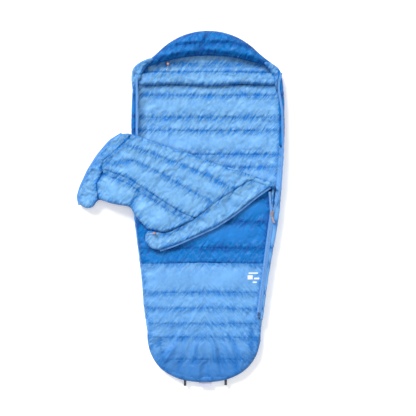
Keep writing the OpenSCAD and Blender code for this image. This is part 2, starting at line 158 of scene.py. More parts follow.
# %% [markdown]
# ## The outline of the bag
# The plan of the bag is a row of half-widths down its length, a squarish ellipse for the
# foot and a round dome for the hood. The foot end leans a little to the left, as the bag
# happens to lie. Every piece of cloth takes its outline from these.
# %% Outline of the bag
STATIONS = mm([(-731, 337), (-650, 348), (-556, 360), (-450, 371), (-345, 384), (-240, 401),
               (-140, 417), (-30, 431), (100, 438), (250, 444), (351, 449), (460, 453),
               (640, 449), (740, 442), (800, 425)])
LEAN = 24 * MM
FOOT_Y, FOOT_A, FOOT_B, FOOT_POWER = -731 * MM, 337 * MM, 302 * MM, 2 / 2.35
BREAK_Y = 351 * MM
FOOT_JOIN = -720 * MM


def middle(y):
    return -LEAN * np.clip((0.3 - np.asarray(y, float)) / 0.9, 0, 1)


def half_width(y):
    return np.interp(y, STATIONS[:, 0], STATIONS[:, 1])


def edge(side, top, bottom, inset, step=0.02):
    """The right (1) or left (-1) edge of the bag from top to bottom."""
    y = np.linspace(top, bottom, max(2, int(abs(top - bottom) / step)))
    return np.stack([middle(y) + side * (half_width(y) - inset), y], axis=1)


def foot_line(inset, start=4, end=176):
    t = np.radians(np.linspace(start, end, 60))
    c, s = np.cos(t), np.sin(t)
    x = middle(FOOT_Y) + (FOOT_A - inset) * np.sign(c) * np.abs(c) ** FOOT_POWER
    return np.stack([x, FOOT_Y - (FOOT_B - inset) * np.abs(s) ** FOOT_POWER], axis=1)


def dome_line(inset):
    t = np.radians(np.linspace(44, 136, 40))
    r = 403 * MM - inset
    return np.stack([r * np.cos(t), 632 * MM + r * np.sin(t)], axis=1)


def mirrored(line):
    return np.array(line)[::-1] * [-1, 1]


def around(inset):
    """The whole edge of the body, right neck, round the foot, to the left neck."""
    return np.vstack([edge(1, 0.7985, FOOT_JOIN, inset), foot_line(inset),
                      edge(-1, FOOT_JOIN, 0.7985, inset)])


print("widest", 2 * half_width(0.46), "toe", FOOT_Y - FOOT_B)

# %% [markdown]
# ## Maths with sockets
# A procedural material is sums on sockets. Wrapping a socket in a small class lets those
# sums be written as Python expressions, and one method makes every other kind of node.
# %% Sockets as numbers
class Wire:
    def __init__(self, finish, socket):
        self.finish, self.socket = finish, socket

    def maths(self, operation, a, b=0.0):
        return self.finish.node("ShaderNodeMath", {"operation": operation}, {0: a, 1: b})

    def __add__(self, other):
        return self.maths("ADD", self, other)

    __radd__ = __add__

    def __mul__(self, other):
        return self.maths("MULTIPLY", self, other)

    __rmul__ = __mul__

    def __sub__(self, other):
        return self.maths("SUBTRACT", self, other)

    def __rsub__(self, other):
        return self.maths("SUBTRACT", other, self)

    def __lt__(self, other):
        return self.maths("LESS_THAN", self, other)

    def __abs__(self):
        return self.maths("ABSOLUTE", self)

    def wave(self):
        return self.maths("SINE", self)

    def eased(self, low, high):
        """0 at low, 1 at high, smooth between."""
        return self.finish.node("ShaderNodeMapRange", {"interpolation_type": "SMOOTHSTEP"},
                                {"Value": self, "From Min": low, "From Max": high})


class Finish:
    """A material in the making, named for what it is on the bag."""

    def __init__(self, name, **constants):
        self.material = bpy.data.materials.new(name)
        self.material.use_nodes = True
        self.tree = self.material.node_tree
        self.shader = self.tree.nodes["Principled BSDF"]
        self.set(**constants)

    def plug(self, socket, value):
        if isinstance(value, Wire):
            self.tree.links.new(value.socket, socket)
        elif isinstance(value, tuple) and len(value) == 3 and socket.type == "RGBA":
            socket.default_value = (*value, 1)
        else:
            socket.default_value = value

    def node(self, kind, settings=None, values=None, output=0):
        made = self.tree.nodes.new(kind)
        for key, value in (settings or {}).items():
            setattr(made, key, value)
        for key, value in (values or {}).items():
            self.plug(made.inputs[key], value)
        return Wire(self, made.outputs[output])

    def set(self, **values):
        for key, value in values.items():
            self.plug(self.shader.inputs[key.replace("_", " ")], value)

    def place(self):
        return self.node("ShaderNodeTexCoord", output="Object")

    def noise(self, where, scale, detail=2.0, rough=0.5, warp=0.0):
        return self.node("ShaderNodeTexNoise", {}, {"Vector": where, "Scale": scale,
                         "Detail": detail, "Roughness": rough, "Distortion": warp})

    def stretched(self, where, scale):
        return self.node("ShaderNodeMapping", {}, {"Vector": where, "Scale": scale})

    def parts(self, wire):
        """The x, y and z of a vector."""
        made = self.tree.nodes.new("ShaderNodeSeparateXYZ")
        self.plug(made.inputs[0], wire)
        return [Wire(self, out) for out in made.outputs]

    def joined(self, x, y, z=0.0):
        return self.node("ShaderNodeCombineXYZ", {}, {"X": x, "Y": y, "Z": z})

    def mixed(self, share, a, b):
        made = self.tree.nodes.new("ShaderNodeMix")
        made.data_type = "RGBA"
        for index, value in ((0, share), (6, a), (7, b)):
            self.plug(made.inputs[index], value)
        return Wire(self, made.outputs[2])

    def raised(self, height, distance, strength=1.0, under=None):
        values = {"Height": height, "Distance": distance, "Strength": strength}
        if under:
            values["Normal"] = under
        return self.node("ShaderNodeBump", {}, values)


def linear(r, g, b):
    """A colour as screens count it, 0 to 255, turned into light."""
    return tuple((c / 255 / 12.92) if c < 11 else ((c / 255 + 0.055) / 1.055) ** 2.4
                 for c in (r, g, b))


# %% [markdown]
# ## Downproof nylon
# The shell and lining are a very fine nylon, pressed until it shines so that down can't
# creep out. Its colour is painted a shade deeper along the seams and in every dip. This is
# painted shade in place of the shadow there, with some random tone on top, and broad pale
# patches on the baffles are a painted sheen. Three kinds of fold show on it: puckers that
# run across a seam, longer slanting folds that the seams pull into the cloth, and a general
# crinkle. The puckers read the piece's own seam map, where u runs along the nearest seam and
# v away from it, and the stitches are a dotted line at v = 0. The slanting folds are a noise
# squeezed in one direction. Round the toe a noise in angle and distance makes a fan. The
# colour is painted deeper there too, as painted shade for the foot curving away from the light.
# %% Nylon
MARK_BARS = mm([(238, 292, -391, -384), (232, 262, -424, -400), (270, 300, -424, -414),
                (262, 286, -444, -437)]).tolist()


def nylon(name, colour, painted_shade_colour, gloss=0.28, ridge=1.0, mark=False, toe=None, turned=None):
    """mark adds the bars, toe a painted shade colour for the foot end and a fan of folds there,
    turned a strip of another colour.
    """
    cloth = Finish(name, Specular_IOR_Level=0.2)
    where = cloth.place()
    seam = cloth.node("ShaderNodeUVMap", {"uv_map": "seam"})
    along, away = cloth.parts(seam)[:2]
    x, y = cloth.parts(where)[:2]
    near = 1 - away.eased(0.0, 0.03)
    gathers = cloth.noise(cloth.stretched(seam, (105, 16, 1)), 1.0, 4, 0.62, 1.3)
    crinkle = cloth.noise(where, 34, 4, 0.6, 1.2)
    fine = cloth.noise(where, 130, 3, 0.6, 0.8)
    side = abs(x + 0.02) * -1 if toe else x
    slant = cloth.joined((y * 0.64 - side * 0.77) * 85, (side * 0.64 + y * 0.77) * 15, x * 6)
    pulled = cloth.noise(slant, 1.0, 3, 0.6, 0.9).eased(0.34, 0.66)
    drawn = (1.15 - away.eased(0.0, 0.07)) * (0.75 if toe else 1.0)
    weave = (cloth.noise(where, 900, 2, 0.5)) * 0.04
    pool = cloth.noise(where, 7, 2, 0.5)
    height = (gathers * near * (1.3 * ridge) + crinkle * 0.4 + pulled * drawn * 0.55
              + fine * 0.13 + weave)
    # Painted shade: the colour darkens along the seams and in the dips of the gathers, slanting
    # folds and crinkle, with some random tone from the pool noise.
    depth = (near * 0.45 + (0.5 - gathers) * near * 1.25 + (0.5 - pulled) * drawn * 0.85
             + (0.5 - crinkle) * 0.7 + (pool - 0.4) * 0.5 + 0.14)
    if toe:
        # Painted shade: the colour deepens towards the toe, where the foot curves away from the
        # light.
        down = 1 - y.eased(-1.0, -0.62)
        turn = (x + 0.02).maths("ARCTAN2", x + 0.02, -0.5 - y)
        fans = cloth.noise(cloth.joined(turn * 9, y * 5), 1.0, 2, 0.5, 0.4)
        fan_share = (1 - y.eased(-0.84, -0.7)) * y.eased(-1.03, -0.97)
        height = height + fans * fan_share * 1.6
        depth = depth + (0.5 - fans) * fan_share * 3.0
    folded = cloth.raised(height, 0.0065 * ridge, 0.8)
    dots = (along * (2 * math.pi / 0.0035)).wave().eased(-0.2, 0.3)
    stitch = (1 - away.eased(0.0006, 0.0018)) * dots
    sewn = cloth.raised(1 - away.eased(0.0, 0.003), -0.0012, 0.6, folded)
    shade = cloth.mixed(depth, colour, painted_shade_colour)
    # Painted sheen: a paler colour mixed into the middles of the baffles, away from the seams.
    painted_sheen = tuple(min(1.0, c * 1.3 + 0.02) for c in colour)
    shade = cloth.mixed(away.eased(0.008, 0.05) * pool.eased(0.45, 0.7) * 0.35, shade, painted_sheen)
    shade = cloth.mixed(stitch * 0.5, shade, tuple(c * 0.6 for c in painted_shade_colour))
    if toe:
        shade = cloth.mixed(down * 0.75, shade, toe)
    if turned:
        other, begins, stops = turned
        shade = cloth.mixed(along.eased(*begins) * (1 - along.eased(*stops)), shade, other)
    if mark:
        bars = 0.0
        for left, right, low, high in MARK_BARS:
            row = abs(y - (low + high) / 2) < (high - low) / 2
            bars = row * (abs(x - (left + right) / 2) < (right - left) / 2) + bars
        shade = cloth.mixed(bars, shade, (0.85, 0.88, 0.92))
    cloth.set(Base_Color=shade, Normal=sewn,
              Roughness=(pool * 0.16 + crinkle * 0.12 + (gloss - 0.14)))
    return cloth.material


# The second colour of each cloth is the painted shade colour that its seams and fold dips are mixed
# towards.
NAVY = linear(2, 118, 198)
# The toe colour is painted shade for the foot end.
SKY, SKY_PAINTED_SHADE, TOE_SHADE = linear(108, 166, 222), linear(40, 122, 206), linear(26, 104, 182)
navy = nylon("navy_nylon", NAVY, linear(0, 76, 158))
sky = nylon("sky_nylon", SKY, SKY_PAINTED_SHADE, toe=TOE_SHADE)
PALE, PALE_PAINTED_SHADE = linear(118, 174, 222), linear(28, 122, 210)
lining = nylon("sky_lining", PALE, PALE_PAINTED_SHADE, 0.27, 1.15)
legs = nylon("marked_sky_nylon", SKY, SKY_PAINTED_SHADE, mark=True, toe=TOE_SHADE)
QUARTER = 0.02 * math.pi / 2
fold_cloth = nylon("fold_lining", PALE, PALE_PAINTED_SHADE, 0.27, 1.15,
                   turned=(NAVY, (1.42 * QUARTER, 1.5 * QUARTER), (3.2 * QUARTER, 3.4 * QUARTER)))
NAVY_SHELL, SKY_SHELL, LEGS_SHELL = (navy, "navy_shell"), (sky, "sky_shell"), (legs, "sky_shell")
SKY_LINING, FOLD_LINING = (lining, "sky_lining"), (fold_cloth, "sky_lining")
print("cloths", navy.name, sky.name, lining.name)

# %% [markdown]
# ## Hard and woven finishes
# The small parts are moulded plastic with a faint orange peel, metal worn brighter at
# random, braided cord and woven webbing. Each is a pair of colours, a roughness and one
# small relief, so one function makes them all.
# %% Trim finishes
def trim(name, colour, other, rough, relief, scale, stretch=(1, 1, 1), metal=0.0):
    stuff = Finish(name, Metallic=metal)
    where = stuff.place()
    grain = stuff.noise(stuff.stretched(where, stretch), scale, 3, 0.6)
    wear = stuff.noise(where, 60, 2, 0.5)
    stuff.set(Base_Color=stuff.mixed(grain.eased(0.35, 0.65), colour, other),
              Roughness=wear * 0.2 + (rough - 0.1), Normal=stuff.raised(grain, relief, 0.6))
    return stuff.material


def woven(name, colour, other, pitch):
    """Two crossing sets of threads."""
    stuff = Finish(name, Sheen_Weight=0.3)
    x, y = stuff.parts(stuff.place())[:2]
    turns = 2 * math.pi / pitch
    threads = ((x + y) * turns).wave() * ((x - y) * turns).wave()
    stuff.set(Base_Color=stuff.mixed(threads.eased(-0.6, 0.8), other, colour),
              Roughness=threads * 0.05 + 0.7, Normal=stuff.raised(threads, 0.0003, 0.7))
    return stuff.material


tape_cloth = woven("zip_tape_weave", linear(110, 172, 238), linear(70, 136, 216), 0.0016)
webbing = woven("loop_webbing_weave", linear(66, 72, 92), linear(38, 42, 60), 0.0024)
pull_web = woven("pull_webbing_weave", linear(196, 176, 160), linear(168, 128, 104), 0.004)
label_web = woven("label_weave", linear(222, 224, 240), linear(190, 194, 222), 0.0012)
braid = woven("cord_braid", linear(214, 218, 224), linear(160, 172, 190), 0.0012)
coil_plastic = trim("zip_coil_plastic", linear(150, 200, 248), linear(126, 182, 238), 0.35,
                    0.0001, 600)
metal = trim("slider_metal", linear(176, 142, 124), linear(140, 116, 106), 0.3, 0.0001, 300,
             metal=0.6)
dark_metal = trim("dark_slider_metal", linear(70, 104, 150), linear(46, 78, 124), 0.35, 0.0001,
                  300, metal=0.5)
grey = trim("grey_plastic", linear(150, 156, 164), linear(128, 134, 144), 0.4, 0.0001, 500)
orange = trim("orange_plastic", linear(222, 146, 104), linear(196, 120, 84), 0.4, 0.0001, 500)
white = trim("white_plastic", linear(232, 232, 228), linear(214, 214, 210), 0.4, 0.0001, 500)
print("trim finishes ready")

# %% [markdown]
# ## Cords
# A thin drawcord runs round the hood and another through the draft collar. Only their
# ends come out, a few centimetres each, through a cord lock, and they end in a small
# fitting. Each is a curve with a round section, along the same points as the solid it
# stands for, softened a little.
# %% Cords
CORD_R = 1.25 * MM


def cord_route(points):
    p = mm(points)
    dense = rounded_line(p, 4 * MM)
    return evenly(dense, np.linalg.norm(np.diff(dense, axis=0), axis=1).sum() / 20)


def drawcord(name, points, body, node):
    route = cord_route(points)
    curve = bpy.data.curves.new(name, "CURVE")
    curve.dimensions = "3D"
    curve.bevel_depth, curve.bevel_resolution, curve.use_fill_caps = CORD_R, 4, True
    spline = curve.splines.new("POLY")
    spline.points.add(len(route) - 1)
    for point, at in zip(spline.points, route):
        point.co = (*at, 1)
    curve.materials.append(braid)
    piece = bpy.data.objects.new(name, curve)
    scene.collection.objects.link(piece)
    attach(piece, body)
    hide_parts(node)
    return piece


HOOD_CORD = [(-236, 856, 38.5), (-236, 819, 38.5), (-238, 815, 36.5), (-242, 811, 34.5)]
SHORT_CORD = [(-328, 832, 38), (-338, 826, 35), (-350, 821, 33), (-361, 818, 33)]
COLLAR_CORD = [(-295, -152, 126.5), (-330, -152, 126.5), (-339, -155, 122), (-349, -159, 121.2)]
drawcord("hood_drawcord", HOOD_CORD, "hood", "hood_cord")
drawcord("hood_drawcord_short", SHORT_CORD, "hood", "hood_cord_short")
drawcord("collar_drawcord", COLLAR_CORD, "flap", "collar_cord")

# %% [markdown]
# ## Cutting and sewing
# A quilted panel is a flat cut piece held down along its seams. The mesh is made the same
# way: the border and the seam lines are exact edges, the rest is filled with evenly spaced
# points, and Delaunay triangles join them. Triangles of one size give cloth that folds the
# same in every direction, which a square grid doesn't.
# %% Cut a piece of cloth
STEP = 6.2 * MM
table = {}


def cut(name, outline, seams=(), step=STEP, sparse=None, loft=15, spare=0.05, full=0.08,
        grain=(1, 0), press=6.0):
    """Lays a flat piece on the cutting table: border, seams, triangles and the seam map."""
    border = evenly(rounded_line(outline, 24 * MM, True), step, True)
    points, edges, lines = list(border), [], []
    for seam in seams:
        line = evenly(rounded_line(mm(seam), 30 * MM), step)
        gap, _ = reach_to(line, border, True)
        line = line[is_inside(line, border) & (gap > 0.55 * step)]
        if len(line) < 3:
            continue
        first = len(points)
        points += list(line)
        edges += [(first + k, first + k + 1) for k in range(len(line) - 1)]
        for end, at in ((first, line[0]), (first + len(line) - 1, line[-1])):
            nearest = int(np.argmin(np.linalg.norm(border - at, axis=1)))
            if np.linalg.norm(border[nearest] - at) < 2.5 * step:
                edges.append((end, nearest))
        lines.append(line)
    low, high = border.min(0), border.max(0)
    fill = []
    for row, y in enumerate(np.arange(low[1], high[1], step * 0.866)):
        wide = 2 if sparse is not None and y < sparse else 1
        if wide == 2 and row % 2:
            continue
        x = np.arange(low[0] + (row // wide % 2) * wide * step / 2, high[0], wide * step)
        fill.append(np.stack([x, np.full(len(x), y)], axis=1))
    fill = np.vstack(fill)
    fill = fill[is_inside(fill, border)]
    keep = reach_to(fill, border, True)[0] > 0.6 * step
    for line in lines:
        keep &= reach_to(fill, line)[0] > 0.6 * step
    points += list(fill[keep])
    got = delaunay_2d_cdt([Vector(p) for p in points], edges, [list(range(len(border)))], 1, 1e-7)
    flat = np.array([tuple(v) for v in got[0]])
    sewn = np.array([any(i < len(points) - keep.sum() for i in ids) for ids in got[3]])
    rim = np.array([any(i < len(border) for i in ids) for ids in got[3]])
    faces = np.array(got[2])
    a, b, c = flat[faces[:, 0]], flat[faces[:, 1]], flat[faces[:, 2]]
    turn = (b[:, 0] - a[:, 0]) * (c[:, 1] - a[:, 1]) - (b[:, 1] - a[:, 1]) * (c[:, 0] - a[:, 0])
    faces[turn < 0] = faces[turn < 0][:, ::-1]
    away, along = reach_to(flat, border, True)
    for k, line in enumerate(lines):
        d, u = reach_to(flat, line)
        nearer = d < away
        away[nearer], along[nearer] = d[nearer], u[nearer] + 3.0 * (k + 1)
    table[name] = {"flat": flat, "faces": faces, "sewn": sewn, "rim": rim, "border": border,
                   "away": away, "along": along, "loft": loft * MM, "spare": spare,
                   "full": full, "grain": np.array(grain) / np.hypot(*grain), "press": press,
                   "relief": None, "shift": None}
    print("cut", name, len(flat), "points", len(faces), "triangles", len(lines), "seams")
    return table[name]


# %% [markdown]
# ## Puffing up
# Down pushes the cloth out everywhere but along the seams. Blender's Cloth does that when
# the seams are pinned, gravity is off and a little pressure acts from below. The cloth
# starts a few per cent larger than its frame, as a real shell is cut larger than its
# baffles, and a shape key draws the seams in to their true places while it fills. Spare
# cloth along the seams gathers into ridges, and fullness across them lets each baffle stand
# up, so the two are set apart. All the pieces are run together, so one pass of frames does
# the whole bag. Afterwards each is scaled to its own loft and its shortest crumples calmed.
# %% Puff every piece
FRAMES = 24
DRAWN_IN_BY = 9
CALMING = 2


def lay_out(name, piece):
    flat, g = piece["flat"], piece["grain"]
    z = np.random.default_rng(len(name)).uniform(0, 0.002, len(flat))
    z[piece["sewn"]] = 0
    across = np.array([-g[1], g[0]])
    centre = flat.mean(axis=0)
    away = flat - centre
    cut_size = centre + (np.outer(away @ g * (1 + piece["spare"]), g)
                         + np.outer(away @ across * (1 + piece["full"]), across))
    mesh = bpy.data.meshes.new("cloth_" + name)
    mesh.from_pydata([(*p, h) for p, h in zip(cut_size, z)], [], piece["faces"].tolist())
    sheet = bpy.data.objects.new("cloth_" + name, mesh)
    scene.collection.objects.link(sheet)
    sheet.shape_key_add(name="as_cut")
    drawn_in = sheet.shape_key_add(name="as_sewn")
    drawn_in.data.foreach_set("co", np.column_stack([flat, z]).astype(np.float32).ravel())
    for number, share in ((1, 0.0), (DRAWN_IN_BY, 1.0)):
        drawn_in.value = share
        drawn_in.keyframe_insert("value", frame=number)
    group = sheet.vertex_groups.new(name="sewn")
    group.add([int(i) for i in np.flatnonzero(piece["sewn"])], 1, "REPLACE")
    cloth = sheet.modifiers.new("down", "CLOTH")
    s = cloth.settings
    s.quality, s.mass, s.air_damping = 4, 0.15, 1
    s.tension_stiffness = s.compression_stiffness = 15
    s.shear_stiffness, s.bending_stiffness = 5, 0.18
    s.tension_damping = s.compression_damping = s.shear_damping = 5
    s.bending_damping = 0.5
    s.vertex_group_mass, s.pin_stiffness = "sewn", 1
    s.use_pressure, s.uniform_pressure_force = True, piece["press"]
    s.shrink_min = -0.015
    s.effector_weights.gravity = 0
    cloth.collision_settings.use_collision = False
    cloth.point_cache.frame_start, cloth.point_cache.frame_end = 1, FRAMES
    return sheet


def calmed(piece, values, rounds):
    """Each free point drawn towards the mean of its neighbours, so only the longer folds stay."""
    faces = piece["faces"]
    pairs = np.vstack([faces[:, [0, 1]], faces[:, [1, 2]], faces[:, [2, 0]]])
    pairs = np.vstack([pairs, pairs[:, ::-1]])
    count = np.maximum(np.bincount(pairs[:, 0], minlength=len(values)), 1)
    for _ in range(rounds):
        mean = np.bincount(pairs[:, 0], values[pairs[:, 1]], len(values)) / count
        values = np.where(piece["sewn"], values, 0.45 * values + 0.55 * mean)
    return values


def puff_all():
    sheets = {name: lay_out(name, piece) for name, piece in table.items()}
    for number in range(1, FRAMES + 1):
        scene.frame_set(number)
    ready = bpy.context.evaluated_depsgraph_get()
    for name, sheet in sheets.items():
        piece = table[name]
        got = sheet.evaluated_get(ready).data
        co = np.empty(3 * len(got.vertices), np.float32)
        got.vertices.foreach_get("co", co)
        co = co.reshape(-1, 3).astype(float)
        rise = calmed(piece, co[:, 2], CALMING)
        peak = max(np.percentile(rise, 99), 1e-4)
        tall = rise * piece["loft"] / peak
        cap = 1.25 * piece["loft"]
        piece["relief"] = cap * np.tanh(tall / cap)
        move = np.stack([calmed(piece, co[:, k] - piece["flat"][:, k], CALMING) for k in (0, 1)],
                        axis=1)
        most = np.maximum(np.linalg.norm(move, axis=1, keepdims=True), 1e-9)
        piece["shift"] = move * np.minimum(1, 0.5 * STEP / most)
        print("puffed", name, "peak", round(float(peak) * 1000, 1), "mm")
        bpy.data.objects.remove(sheet)
    scene.frame_set(1)


# %% [markdown]
# ## From a puffed sheet to a stuffed half
# Each panel is seen from one side only: lining above, shell below. So each is a closed half
# pad, with the puffed cloth on its outer side and a plain inner side, and its outer side
# rounds over towards the free edge. Where the flap hangs over the edge of the bag, the
# whole piece droops by a rule of its own.
# %% Build a stuffed piece
def round_over(distance, reach):
    return np.sqrt(1 - (1 - np.clip(distance / reach, 0, 1)) ** 2)


def finish_piece(piece, material, body, nodes, smooth=True):
    piece.data.materials.clear()
    piece.data.materials.append(material)
    if smooth:
        piece.data.polygons.foreach_set("use_smooth", [True] * len(piece.data.polygons))
    if body:
        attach(piece, body)
    if nodes:
        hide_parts(*nodes)
    return piece


def new_mesh(name, points, faces, seam_map=None):
    mesh = bpy.data.meshes.new(name)
    mesh.from_pydata([tuple(p) for p in points], [], [tuple(int(i) for i in f) for f in faces])
    if seam_map is not None:
        layer = mesh.uv_layers.new(name="seam")
        index = np.empty(len(mesh.loops), np.int32)
        mesh.loops.foreach_get("vertex_index", index)
        layer.data.foreach_set("uv", np.asarray(seam_map, np.float32)[index].ravel())
    mesh.validate()
    piece = bpy.data.objects.new(name, mesh)
    scene.collection.objects.link(piece)
    return piece


def border_edges(faces):
    """Directed edges used by one face only, in the order the faces turn."""
    pairs = np.vstack([faces[:, [0, 1]], faces[:, [1, 2]], faces[:, [2, 0]]])
    seen = {}
    for a, b in pairs.tolist():
        seen[(a, b)] = seen.get((a, b), 0) + 1
    return [(a, b) for a, b in seen if (b, a) not in seen]


def gathers(piece, height=3.0, width=12.0, slant=0.7, depth=42.0):
    """Short slanting ridges where the cloth runs into a seam."""
    along, away = piece["along"], piece["away"]
    leaning = slant * np.clip(2.5 * bump_noise(along / 0.2, along * 0, 41), -1, 1)
    ridge = bump_noise((along + leaning * away) / (width * MM), away / 0.09, 43)
    rise = 1 - np.exp(-away / 0.004)
    return height * MM * ridge * rise * np.exp(-away / (depth * MM))


def stuffed(name, plan, edge_z, face_z, inner_z, reach, kind, body, nodes=(), only=None,
            free=None, droop=None, gain=1.0, bow=None, ridges=4.2):
    """A closed half pad. face_z above edge_z puffs up, below it puffs down."""
    piece = table[plan]
    flat, faces = piece["flat"], piece["faces"]
    up = 1 if face_z >= edge_z else -1
    far = reach_to(flat, piece["border"] if free is None else free, free is None)[0]
    z = (edge_z + (face_z - edge_z) * round_over(far, reach * MM)) * MM
    z = z + up * gain * (piece["relief"] + gathers(piece, ridges))
    inner = np.full(len(flat), inner_z * MM)
    if bow is not None:
        extra = bow(flat) * MM
        z, inner = z + extra, inner + extra
    z = np.maximum(z, inner + 0.001) if up > 0 else np.minimum(z, inner - 0.001)
    if droop is not None:
        z, inner = z + droop(flat[:, 0]), inner + droop(flat[:, 0])
    moved = flat + piece["shift"] * (0 if up < 0 else 1)
    outer_pts = np.column_stack([moved, z])
    inner_pts = np.column_stack([flat, inner])
    if only is not None:
        faces = faces[only(flat[faces].mean(axis=1))]
    used = np.unique(faces)
    new = np.full(len(flat), -1)
    new[used] = np.arange(len(used))
    top, count = new[faces], len(used)
    walls = []
    for a, b in border_edges(top):
        walls += [(b, a, a + count), (b, a + count, b + count)]
    shell = np.vstack([top, top[:, ::-1] + count, np.array(walls)])
    if up < 0:
        shell = shell[:, ::-1]
    points = np.vstack([outer_pts[used], inner_pts[used]])
    seam_map = np.column_stack([piece["along"], piece["away"]])[used]
    made = new_mesh(name, points, shell, np.vstack([seam_map, seam_map]))
    print(name, len(shell), "triangles")
    return finish_piece(made, kind[0], body, nodes)


# %% [markdown]
# ## Plans of the panels
# The top panel is cut off at the fold, follows the zip down the right, and below the zip
# runs out to the edge of the foot. Its cross seams are where the baffles inside are sewn.
# The back lining lies between the side baffles. The flap has a lining in the middle, a
# facing along the zip, one along its side and the draft collar between them.
# %% Fold and zip lines
FOLD_A, FOLD_B = mm((-450, 432)), mm((404, 136))
FOLD_D = (FOLD_B - FOLD_A) / np.linalg.norm(FOLD_B - FOLD_A)
FOLD_N = np.array([-FOLD_D[1], FOLD_D[0]])
ZIP_0, ZIP_1 = mm((376, -23)), mm((298, -618))
ZIP_D = (ZIP_1 - ZIP_0) / np.linalg.norm(ZIP_1 - ZIP_0)
ZIP_N = np.array([-ZIP_D[1], ZIP_D[0]])


def on_fold(x, back):
    """The point of the fold at x, moved back from it, in mm."""
    base = FOLD_A + FOLD_D * (x * MM - FOLD_A[0]) / FOLD_D[0]
    return base - FOLD_N * back * MM


def zip_at(s, across):
    return ZIP_0 + ZIP_D * s * MM + ZIP_N * across * MM


FRONT = np.vstack([[on_fold(-402, 16), on_fold(356, 16)], [mm((360, 84))],
                   [zip_at(0, -6), zip_at(635, -6)], edge(1, -0.655, FOOT_JOIN, 5 * MM),
                   foot_line(4 * MM), edge(-1, FOOT_JOIN, 0.17, 9 * MM), [mm((-402, 200))]])
FRONT_SEAMS = [[(-460, 60), (0, 40), (460, 60)], [(-460, -92), (0, -84), (460, -92)],
               [(-460, -248), (0, -240), (460, -246)], [(-460, -349), (-40, -325), (460, -342)],
               [(-460, -508), (0, -500), (460, -508)], [(-460, -598), (0, -594), (460, -606)],
               [(-460, -684), (0, -688), (460, -682)], [(-460, -766), (0, -764), (460, -770)],
               [(-460, -896), (0, -896), (460, -890)], [(254, -688), (252, -890)],
               [(-286, -770), (-262, -905)]]
cut("front", FRONT, FRONT_SEAMS, loft=20, spare=0.035, full=0.065)
BACK_OUT = np.vstack([edge(1, 0.724, FOOT_JOIN, 24 * MM), foot_line(36 * MM),
                      edge(-1, FOOT_JOIN, 0.724, 24 * MM)])
BACK_SEAMS = [[(-460, y + 3), (0, y), (460, y + 2)] for y in
              (656, 525, 448, 308, 230, 94, 18, -118, -194, -330, -470, -600, -740, -880)]
cut("floor", BACK_OUT, BACK_SEAMS, sparse=-0.06, loft=21, spare=0.035, full=0.065)

# %% Flap plan
ZIP_EDGE = mm([(362, 116), (287, 64), (216, 6), (140, -53), (41, -117), (-76, -170),
               (-193, -222), (-281, -252)])
NECK_EDGE = mm([(-328, -246), (-363, -211), (-374, -170), (-351, -132), (-392, -88),
                (-433, -41), (-450, 0), (-562, 18), (-644, 47)])
SIDE_EDGE = mm([(-673, 0), (-714, -12), (-755, 12), (-766, 59), (-749, 117), (-702, 216),
                (-644, 304), (-573, 386), (-503, 427)])
BORDER_LINE = mm([(-614, 222), (-456, 164), (-345, 88), (-152, -35), (-72, -66)])
COLLAR_LOW = mm([(-72, -66), (-181, -123), (-252, -152), (-351, -132), (-392, -88),
                 (-433, -41), (-450, 0), (-562, 18), (-644, 47), (-655, 140)])
FACING_LINE = mm([(234, 150), (53, 35), (-72, -66)])
SIDE_LINE = mm([(-456, 405), (-620, 263), (-626, 190)])
FLAP_OUT = np.vstack([[on_fold(-450, 6), on_fold(396, 6)], ZIP_EDGE, NECK_EDGE, SIDE_EDGE])
DROOP = mm([(-800, -72), (-700, -46), (-600, -22), (-520, -7), (-460, 0), (500, 0)])


def droop(x):
    """How far the part of the flap beyond the bag's edge hangs down."""
    return np.interp(x, DROOP[:, 0], DROOP[:, 1])


FLAP_MID = np.vstack([[on_fold(-446, 2), on_fold(300, 2)], FACING_LINE, BORDER_LINE[::-1][1:],
                      SIDE_LINE[::-1]])
FLAP_SEAMS = [[(-640, 420), (-538, 380), (-300, 300), (-70, 212), (60, 150), (180, 90)],
              [(-640, 250), (-430, 270), (-250, 180), (-60, 70), (40, 20)]]
cut("flap_lining", FLAP_MID, FLAP_SEAMS, loft=20, spare=0.04, full=0.06, grain=FOLD_D)
ZIP_FACING = np.vstack([[on_fold(300, 2), on_fold(394, 2)], ZIP_EDGE, [mm((-328, -246)),
                        mm((-363, -211)), mm((-370, -170)), mm((-351, -134)), mm((-252, -154)),
                        mm((-181, -125))], FACING_LINE[::-1]])
cut("zip_facing", ZIP_FACING, loft=14, spare=0.09, full=0.05, grain=(0.86, 0.5))
COLLAR_TOP = mm([(-614, 196), (-470, 142), (-362, 70), (-168, -52), (-84, -76)])
COLLAR = np.vstack([COLLAR_TOP, COLLAR_LOW[1:]])
cut("collar", COLLAR, [[(-450, 0), (-420, 60), (-400, 100)]], loft=28, spare=0.06, full=0.08,
    grain=(0.86, -0.5), press=8)
COLLAR_BORDER = np.vstack([BORDER_LINE, mm([(-90, -84), (-168, -58), (-362, 64), (-470, 136),
                                            (-614, 190)])])
cut("collar_border", COLLAR_BORDER, loft=8, spare=0.12, full=0.03, grain=(0.86, -0.5))
SIDE_FACING = np.vstack([SIDE_EDGE, [on_fold(-450, 2)], SIDE_LINE, mm([(-655, 140), (-644, 47)])])
cut("side_facing", SIDE_FACING, loft=15, spare=0.1, full=0.05, grain=(0.5, 0.86))
FLAP_UNDER_SEAMS = [[(-760, 300), (-500, 225), (0, 70), (300, -20)],
                    [(-760, 130), (-500, 80), (0, -90), (100, -120)]]
cut("flap_under", FLAP_OUT, FLAP_UNDER_SEAMS, step=9 * MM, loft=6)

